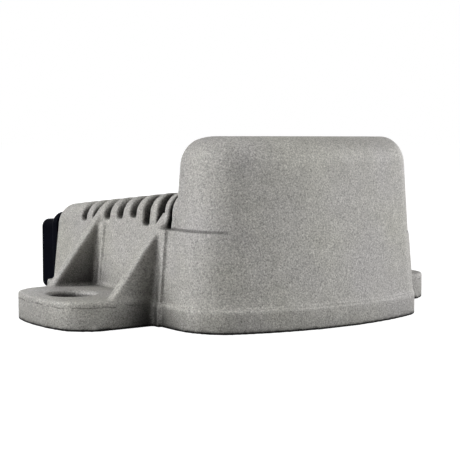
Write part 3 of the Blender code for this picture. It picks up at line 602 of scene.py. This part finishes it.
# ---- materials ----
class Shading:
    """Short ways to add and join the shader nodes of one material."""

    def __init__(self, name, roughness, metallic=0.0):
        self.material = bpy.data.materials.new(name)
        self.material.use_nodes = True
        self.tree = self.material.node_tree
        self.shader = self.tree.nodes["Principled BSDF"]
        self.shader.inputs["Roughness"].default_value = roughness
        self.shader.inputs["Metallic"].default_value = metallic
        coordinates = self.tree.nodes.new("ShaderNodeTexCoord")
        scale = self.tree.nodes.new("ShaderNodeVectorMath")
        scale.operation = "SCALE"
        scale.inputs["Scale"].default_value = 1.0 / MM
        self.tree.links.new(coordinates.outputs["Object"], scale.inputs[0])
        self.place = scale.outputs[0]

    def join(self, source, target):
        self.tree.links.new(source, target)

    def noise(self, size, detail=2.0, roughness=0.5, stretch=None):
        """Smooth noise whose features are about that many millimetres across."""
        node = self.tree.nodes.new("ShaderNodeTexNoise")
        node.inputs["Scale"].default_value = 1.0 / size
        node.inputs["Detail"].default_value = detail
        node.inputs["Roughness"].default_value = roughness
        place = self.place
        if stretch is not None:
            scaled = self.tree.nodes.new("ShaderNodeVectorMath")
            scaled.operation = "MULTIPLY"
            scaled.inputs[1].default_value = stretch
            self.join(self.place, scaled.inputs[0])
            place = scaled.outputs[0]
        self.join(place, node.inputs["Vector"])
        return node.outputs["Fac"]

    def part(self, axis):
        """One coordinate in millimetres."""
        node = self.tree.nodes.new("ShaderNodeSeparateXYZ")
        self.join(self.place, node.inputs[0])
        return node.outputs[axis]

    def cells(self, size, feature="F1"):
        """Distance from the nearest cell middle, or cell edge, of cells about that many millimetres wide."""
        node = self.tree.nodes.new("ShaderNodeTexVoronoi")
        node.feature = feature
        node.inputs["Scale"].default_value = 1.0 / size
        self.join(self.place, node.inputs["Vector"])
        return node.outputs["Distance"]

    def level(self, value, low, high, start=0.0, end=1.0):
        """Map low..high onto start..end, and hold it there outside."""
        node = self.tree.nodes.new("ShaderNodeMapRange")
        node.inputs["From Min"].default_value = low
        node.inputs["From Max"].default_value = high
        node.inputs["To Min"].default_value = start
        node.inputs["To Max"].default_value = end
        self.join(value, node.inputs["Value"])
        return node.outputs["Result"]

    def maths(self, operation, first, second):
        node = self.tree.nodes.new("ShaderNodeMath")
        node.operation = operation
        for socket, value in zip(node.inputs, (first, second)):
            if isinstance(value, (int, float)):
                socket.default_value = value
            else:
                self.join(value, socket)
        return node.outputs[0]

    def blend(self, share, first, second, mode="MIX"):
        """Mix two colours, each a socket or three numbers, by a share."""
        node = self.tree.nodes.new("ShaderNodeMix")
        node.data_type = "RGBA"
        node.blend_type = mode
        for socket, value in zip((node.inputs[0], node.inputs[6], node.inputs[7]), (share, first, second)):
            if isinstance(value, (int, float)):
                socket.default_value = value
            elif isinstance(value, tuple):
                socket.default_value = (*value, 1.0)
            else:
                self.join(value, socket)
        return node.outputs[2]

    def closeness(self, reach):
        """1 in the open and 0 deep in a recess, looking that many millimetres around."""
        node = self.tree.nodes.new("ShaderNodeAmbientOcclusion")
        node.samples = 8
        node.inputs["Distance"].default_value = reach * MM
        return node.outputs["AO"]

    def height(self, value, depth, strength=1.0, below=None):
        """Bump of that many millimetres."""
        node = self.tree.nodes.new("ShaderNodeBump")
        node.inputs["Strength"].default_value = strength
        node.inputs["Distance"].default_value = depth * MM
        self.join(value, node.inputs["Height"])
        if below is not None:
            self.join(below, node.inputs["Normal"])
        return node.outputs["Normal"]

    def done(self, colour, roughness=None, normal=None):
        self.join(colour, self.shader.inputs["Base Color"])
        if roughness is not None:
            self.join(roughness, self.shader.inputs["Roughness"])
        if normal is not None:
            self.join(normal, self.shader.inputs["Normal"])
        return self.material


def ledge_shade_and_flash_line(s):
    """Painted shade in the corner over the shoulder's ledge, and the flash line round the ear."""
    x, y, z = s.part("X"), s.part("Y"), s.part("Z")
    ledge_x = s.maths("MULTIPLY", s.maths("ADD", x, 28.0), 0.035)
    # painted shade: a dark band along the corner over the shoulder's ledge
    ledge_shade = s.maths("ABSOLUTE", s.maths("SUBTRACT", s.maths("ADD", z, ledge_x), SHOULDER_TOP + 0.25), 0.0)
    ledge_shade = s.level(ledge_shade, 0.18, 0.42, 0.45, 1.0)
    ahead = s.level(s.maths("ABSOLUTE", s.maths("ADD", y, 32.0), 0.0), 7.5, 9.5)
    side = s.level(s.maths("ABSOLUTE", x, 0.0), 24.0, 26.5, 1.0, 0.0)
    ledge_shade = s.maths("MAXIMUM", ledge_shade, s.maths("MAXIMUM", ahead, side))
    wander = s.level(s.noise(5.0, 2.0), 0.3, 0.7, -0.25, 0.25)
    flash = s.maths("ABSOLUTE", s.maths("SUBTRACT", s.maths("ADD", z, wander), FLASH_Z), 0.0)
    flash = s.level(flash, 0.06, 0.20, 0.55, 1.0)
    broken = s.level(s.noise(2.2, 2.0), 0.42, 0.56)
    inner = s.level(s.maths("ABSOLUTE", x, 0.0), 34.0, 40.0, 1.0, 0.0)
    flash = s.maths("MAXIMUM", flash, s.maths("MAXIMUM", broken, inner))
    return s.maths("MULTIPLY", ledge_shade, flash)


def cast_aluminium():
    """Blasted die-cast skin: fine light and dark grain, soft mottling, pits, and painted shade in recesses
    and crevices.
    """
    s = Shading("cast_aluminium", 0.62, 0.15)
    grain = s.noise(0.34, 3.0, 0.65)
    speck = s.noise(0.18, 1.0)
    mottle = s.noise(3.6, 3.0, 0.6)
    wash = s.noise(17.0, 2.0)
    tone = s.blend(s.level(mottle, 0.3, 0.7), (0.43, 0.42, 0.385), (0.52, 0.51, 0.47))
    tone = s.blend(s.level(wash, 0.35, 0.7, 0.0, 0.6), tone, (0.47, 0.455, 0.46))
    tone = s.blend(1.0, tone, s.level(grain, 0.3, 0.7, 0.52, 1.48), "MULTIPLY")
    tone = s.blend(1.0, tone, s.level(speck, 0.3, 0.7, 0.80, 1.18), "MULTIPLY")
    pit = s.level(s.cells(2.3), 0.06, 0.10)
    tone = s.blend(1.0, tone, s.level(pit, 0.0, 1.0, 0.6, 1.0), "MULTIPLY")
    # painted shade over the shoulder's ledge, and the ear's flash line
    tone = s.blend(1.0, tone, ledge_shade_and_flash_line(s), "MULTIPLY")
    # painted shade: colour darkened in recesses, in deep pockets and in narrow crevices, where shade falls
    recess = s.level(s.closeness(18.0), 0.30, 0.62, 0.07, 1.0)
    deep_shade = s.level(s.closeness(36.0), 0.18, 0.46, 0.20, 1.0)
    tone = s.blend(1.0, tone, deep_shade, "MULTIPLY")
    crevice_shade = s.level(s.closeness(1.3), 0.45, 0.85, 0.30, 1.0)
    tone = s.blend(1.0, tone, recess, "MULTIPLY")
    tone = s.blend(1.0, tone, crevice_shade, "MULTIPLY")
    normal = s.height(mottle, 0.10, 0.5)
    normal = s.height(grain, 0.09, 0.7, normal)
    return s.done(tone, s.level(grain, 0.3, 0.7, 0.54, 0.72), normal)


def moulded_black():
    """Glass-filled nylon with a faint blue cast and a fine spark-eroded grain."""
    s = Shading("moulded_black", 0.6)
    s.shader.inputs["Specular IOR Level"].default_value = 0.05
    cloud = s.level(s.noise(6.0, 3.0), 0.3, 0.7)
    grain = s.noise(0.25, 2.0)
    tone = s.blend(cloud, (0.0006, 0.0009, 0.0036), (0.0014, 0.0018, 0.0062))
    return s.done(tone, s.level(grain, 0.3, 0.7, 0.52, 0.70), s.height(grain, 0.03, 0.5))


def rolled_sheet():
    """Satin aluminium sheet with rolling lines along X and a few handling marks."""
    s = Shading("rolled_sheet", 0.42, 0.85)
    lines = s.noise(0.5, 3.0, 0.6, stretch=(0.02, 1.0, 1.0))
    cloud = s.level(s.noise(14.0, 3.0), 0.3, 0.7)
    tone = s.blend(cloud, (0.52, 0.52, 0.52), (0.62, 0.62, 0.61))
    tone = s.blend(1.0, tone, s.level(lines, 0.3, 0.7, 0.86, 1.08), "MULTIPLY")
    # painted shade: colour darker in recesses and corners
    tone = s.blend(1.0, tone, s.level(s.closeness(3.0), 0.3, 0.8, 0.5, 1.0), "MULTIPLY")
    return s.done(tone, s.level(lines, 0.3, 0.7, 0.34, 0.52), s.height(lines, 0.02, 0.5))


def soft_rubber(name, dark, light, roughness, gloss):
    """Moulded rubber or silicone: dusty clouding and a very fine matt grain."""
    s = Shading(name, roughness)
    s.shader.inputs["Specular IOR Level"].default_value = gloss
    cloud = s.level(s.noise(5.0, 4.0, 0.6), 0.3, 0.7)
    dust = s.level(s.cells(1.1), 0.04, 0.12, 0.0, 1.0)
    grain = s.noise(0.18, 2.0)
    tone = s.blend(cloud, dark, light)
    tone = s.blend(s.maths("SUBTRACT", 1.0, dust), tone, tuple(1.5 * c + 0.01 for c in light))
    rough = s.level(grain, 0.3, 0.7, roughness - 0.08, roughness + 0.08)
    return s.done(tone, rough, s.height(grain, 0.03, 0.6))


def plated(name, dark, light, roughness):
    """Plated metal: faint bath clouding, fine scratches and painted shade in corners."""
    s = Shading(name, roughness, 1.0)
    cloud = s.level(s.noise(1.6, 3.0, 0.6), 0.3, 0.7)
    scratch = s.noise(0.22, 2.0, 0.5, stretch=(1.0, 0.12, 1.0))
    tone = s.blend(cloud, dark, light)
    tone = s.blend(1.0, tone, s.level(scratch, 0.3, 0.7, 0.85, 1.1), "MULTIPLY")
    # painted shade: colour darker in corners and recesses
    tone = s.blend(1.0, tone, s.level(s.closeness(1.0), 0.3, 0.8, 0.5, 1.0), "MULTIPLY")
    rough = s.level(scratch, 0.3, 0.7, roughness - 0.07, roughness + 0.12)
    return s.done(tone, rough, s.height(scratch, 0.008, 0.5))


def moulded_plastic(name, dark, light, roughness):
    """Moulded plastic or resin: flow clouding and a fine eroded grain."""
    s = Shading(name, roughness)
    s.shader.inputs["Specular IOR Level"].default_value = 0.35
    cloud = s.level(s.noise(3.0, 3.0), 0.3, 0.7)
    grain = s.noise(0.16, 2.0)
    tone = s.blend(cloud, dark, light)
    tone = s.blend(1.0, tone, s.level(grain, 0.3, 0.7, 0.92, 1.06), "MULTIPLY")
    rough = s.level(grain, 0.3, 0.7, roughness - 0.08, roughness + 0.08)
    return s.done(tone, rough, s.height(grain, 0.02, 0.5))


def sintered(name, dark, light, roughness):
    """Pressed and fired powder: speckled tone, tiny pores, a slight tooth."""
    s = Shading(name, roughness)
    speck = s.level(s.noise(0.14, 2.0, 0.6), 0.35, 0.65)
    pore = s.level(s.cells(0.7), 0.05, 0.12)
    tone = s.blend(speck, dark, light)
    tone = s.blend(1.0, tone, s.level(pore, 0.0, 1.0, 0.55, 1.0), "MULTIPLY")
    return s.done(tone, s.level(speck, 0.0, 1.0, roughness - 0.06, roughness + 0.08),
                  s.height(pore, 0.02, 0.5))


def enamelled_wire():
    """Copper under a clear amber enamel, with painted shade between the turns."""
    s = Shading("enamelled_wire", 0.28, 0.8)
    cloud = s.level(s.noise(2.4, 3.0), 0.3, 0.7)
    fleck = s.noise(0.2, 2.0)
    tone = s.blend(cloud, (0.46, 0.16, 0.055), (0.66, 0.27, 0.10))
    tone = s.blend(1.0, tone, s.level(fleck, 0.3, 0.7, 0.88, 1.08), "MULTIPLY")
    # painted shade: colour darker between the turns
    tone = s.blend(1.0, tone, s.level(s.closeness(0.6), 0.3, 0.9, 0.3, 1.0), "MULTIPLY")
    return s.done(tone, s.level(fleck, 0.3, 0.7, 0.22, 0.38), s.height(fleck, 0.01, 0.4))


def solder_mask():
    """Green board: lighter copper areas and tracks under the mask, glass weave, and tinned pads."""
    s = Shading("solder_mask", 0.35)
    track = s.level(s.cells(3.2, "DISTANCE_TO_EDGE"), 0.05, 0.09)
    area = s.level(s.noise(9.0, 1.0), 0.50, 0.52)
    weave = s.noise(0.35, 1.0, 0.5, stretch=(1.0, 0.2, 1.0))
    pad = s.level(s.cells(2.6), 0.16, 0.20)
    tone = s.blend(track, (0.035, 0.23, 0.085), (0.012, 0.105, 0.042))
    tone = s.blend(s.maths("MULTIPLY", area, 0.6), tone, (0.030, 0.20, 0.075))
    tone = s.blend(1.0, tone, s.level(weave, 0.3, 0.7, 0.90, 1.08), "MULTIPLY")
    tone = s.blend(pad, (0.62, 0.62, 0.60), tone)
    return s.done(tone, s.level(weave, 0.3, 0.7, 0.30, 0.42), s.height(track, 0.03, 0.5))


def can_sleeve():
    """Dark blue shrink sleeve round an aluminium can, whose bare top shows."""
    s = Shading("can_sleeve", 0.32)
    above = s.level(s.part("Z"), CAN_TOP - 0.5, CAN_TOP - 0.35)
    wrinkle = s.noise(2.2, 3.0, 0.6, stretch=(1.0, 1.0, 0.15))
    tone = s.blend(s.level(wrinkle, 0.3, 0.7), (0.010, 0.018, 0.045), (0.022, 0.034, 0.075))
    metal = s.blend(s.level(s.noise(0.3, 2.0), 0.3, 0.7), (0.55, 0.55, 0.55), (0.70, 0.70, 0.69))
    s.join(above, s.shader.inputs["Metallic"])
    return s.done(s.blend(above, tone, metal), s.level(wrinkle, 0.3, 0.7, 0.26, 0.40),
                  s.height(wrinkle, 0.05, 0.5))


def chip_ceramic():
    """Tan ceramic body between tinned ends."""
    s = Shading("chip_ceramic", 0.55)
    row = s.maths("PINGPONG", s.maths("ADD", s.part("X"), 14.0), 2.0)
    end = s.level(row, 0.62, 0.68)
    speck = s.level(s.noise(0.12, 2.0), 0.3, 0.7)
    tone = s.blend(speck, (0.46, 0.34, 0.21), (0.58, 0.45, 0.30))
    tin = s.blend(speck, (0.60, 0.60, 0.58), (0.74, 0.74, 0.72))
    s.join(end, s.shader.inputs["Metallic"])
    return s.done(s.blend(end, tone, tin), s.level(speck, 0.0, 1.0, 0.42, 0.60), s.height(speck, 0.01, 0.4))


# ---- scene ----
def seen_white(tree, dim):
    """Strength 1 where the floor or the backdrop is seen, and dim where it only lights."""
    ray = tree.nodes.new("ShaderNodeLightPath")
    strength = tree.nodes.new("ShaderNodeMapRange")
    strength.inputs["To Min"].default_value = dim
    strength.inputs["To Max"].default_value = 1.0
    tree.links.new(ray.outputs["Is Camera Ray"], strength.inputs["Value"])
    return strength.outputs["Result"]


def floor_paper():
    """White studio paper that is lit evenly from behind."""
    s = Shading("floor_paper", 0.8)
    s.shader.inputs["Specular IOR Level"].default_value = 0.1
    s.shader.inputs["Emission Color"].default_value = (1.0, 1.0, 1.0, 1.0)
    s.join(seen_white(s.tree, 0.0), s.shader.inputs["Emission Strength"])
    cloud = s.level(s.noise(260.0, 2.0), 0.3, 0.7)
    return s.done(s.blend(cloud, (0.16, 0.16, 0.16), (0.18, 0.18, 0.18)))


def floor():
    mesh = bpy.data.meshes.new("floor")
    bm = bmesh.new()
    bmesh.ops.create_circle(bm, cap_ends=True, segments=64, radius=FLOOR_RADIUS)
    bm.to_mesh(mesh)
    bm.free()
    made = bpy.data.objects.new("floor", mesh)
    made.location.z = CAD_LOW.z - FLOOR_GAP * MM
    mesh.materials.append(floor_paper())
    bpy.context.scene.collection.objects.link(made)


def studio():
    """A white backdrop in a dark room."""
    world = bpy.data.worlds.new("studio")
    bpy.context.scene.world = world
    world.use_nodes = True
    background = world.node_tree.nodes["Background"]
    background.inputs["Color"].default_value = (1.0, 1.0, 1.0, 1.0)
    world.node_tree.links.new(seen_white(world.node_tree, SKY_LIGHT), background.inputs["Strength"])


def softbox(name, direction, distance, size, power):
    """A square area light that looks at the object's middle from a direction."""
    lamp = bpy.data.lights.new(name, "AREA")
    lamp.size = size
    lamp.energy = power
    made = bpy.data.objects.new(name, lamp)
    middle = 0.5 * (CAD_LOW + CAD_HIGH)
    away = Vector(direction).normalized()
    made.location = middle + away * distance
    made.rotation_mode = "QUATERNION"
    made.rotation_quaternion = away.to_track_quat("Z", "Y")
    bpy.context.scene.collection.objects.link(made)


def camera():
    data = bpy.data.cameras.new("camera")
    data.lens = CAMERA_LENS
    data.sensor_width = 36.0
    data.clip_start = 0.01
    data.clip_end = 100.0
    made = bpy.data.objects.new("camera", data)
    made.location = Vector(CAMERA_PLACE) * MM
    made.rotation_euler = (math.radians(90.0 - CAMERA_PITCH), 0.0, -math.radians(CAMERA_YAW))
    bpy.context.scene.collection.objects.link(made)
    bpy.context.scene.camera = made


def finishes():
    """The procedural material of each slot but the casting's."""
    grey = ((0.24, 0.25, 0.27), (0.33, 0.34, 0.36))
    pale_blue = ((0.46, 0.53, 0.61), (0.58, 0.65, 0.73))
    return {
        "cover_aluminium": rolled_sheet(),
        "black_rubber": soft_rubber("black_rubber", (0.012, 0.012, 0.013), (0.024, 0.024, 0.025), 0.78, 0.3),
        "grey_silicone": soft_rubber("grey_silicone", *grey, 0.6, 0.4),
        "thermal_silicone": soft_rubber("thermal_silicone", *pale_blue, 0.8, 0.2),
        "zinc_steel": plated("zinc_steel", (0.52, 0.53, 0.54), (0.66, 0.66, 0.64), 0.32),
        "tinned_brass": plated("tinned_brass", (0.64, 0.62, 0.55), (0.76, 0.74, 0.66), 0.28),
        "gold_plate": plated("gold_plate", (0.72, 0.50, 0.20), (0.86, 0.63, 0.28), 0.26),
        "bright_tin": plated("bright_tin", (0.66, 0.66, 0.65), (0.80, 0.80, 0.79), 0.26),
        "black_plastic": moulded_black(),
        "green_board": solder_mask(),
        "ferrite": sintered("ferrite", (0.035, 0.035, 0.040), (0.085, 0.085, 0.090), 0.68),
        "fuse_ceramic": sintered("fuse_ceramic", (0.76, 0.75, 0.71), (0.88, 0.87, 0.84), 0.38),
        "chip_ceramic": chip_ceramic(),
        "bobbin_plastic": moulded_plastic("bobbin_plastic", (0.66, 0.63, 0.52), (0.78, 0.75, 0.65), 0.5),
        "relay_plastic": moulded_plastic("relay_plastic", (0.72, 0.71, 0.66), (0.83, 0.82, 0.78), 0.45),
        "film_case": moulded_plastic("film_case", (0.62, 0.36, 0.04), (0.78, 0.48, 0.08), 0.4),
        "black_epoxy": moulded_plastic("black_epoxy", (0.022, 0.022, 0.024), (0.036, 0.036, 0.038), 0.62),
        "surge_coating": moulded_plastic("surge_coating", (0.07, 0.19, 0.46), (0.11, 0.27, 0.58), 0.4),
        "enamelled_copper": enamelled_wire(),
        "can_sleeve": can_sleeve(),
    }


def main():
    finish = finishes()
    low, high = HOUSING_LOW, HOUSING_HIGH
    body = solid_piece("casting", casting, low, high, CASTING_STEP)
    dress(body, "cast_aluminium", cast_aluminium(), "housing")
    plug = solid_piece("connector_body", connector, SHELL_LOW, SHELL_HIGH, CONNECTOR_STEP)
    dress(plug, "black_plastic", finish["black_plastic"], "connector_shell")
    for prefix, count, radius, height in SCREWS:
        screws(prefix, count, radius, height, finish["zinc_steel"])
    for node, x, y in CHOKES:
        choke_wire(node, x, y, finish["enamelled_copper"])
    transformer_wire("transformer_winding", finish["enamelled_copper"])
    replaced = {"housing", "connector_shell", "transformer_winding"} | {node for node, _, _ in CHOKES}
    for entry in frame["record"]["subparts"]:
        node, slot = entry["node"], entry["material_slot"]
        if node in replaced or slot == "zinc_steel":
            continue
        rounded_copy(node, slot, finish[slot], EDGE_WIDTH.get(slot, PLAIN_EDGE))
    floor()
    studio()
    for name, direction, size, power in LIGHTS:
        softbox(name, direction, 0.9, size, power)
    camera()
    bpy.context.scene.view_settings.view_transform = "Standard"


main()
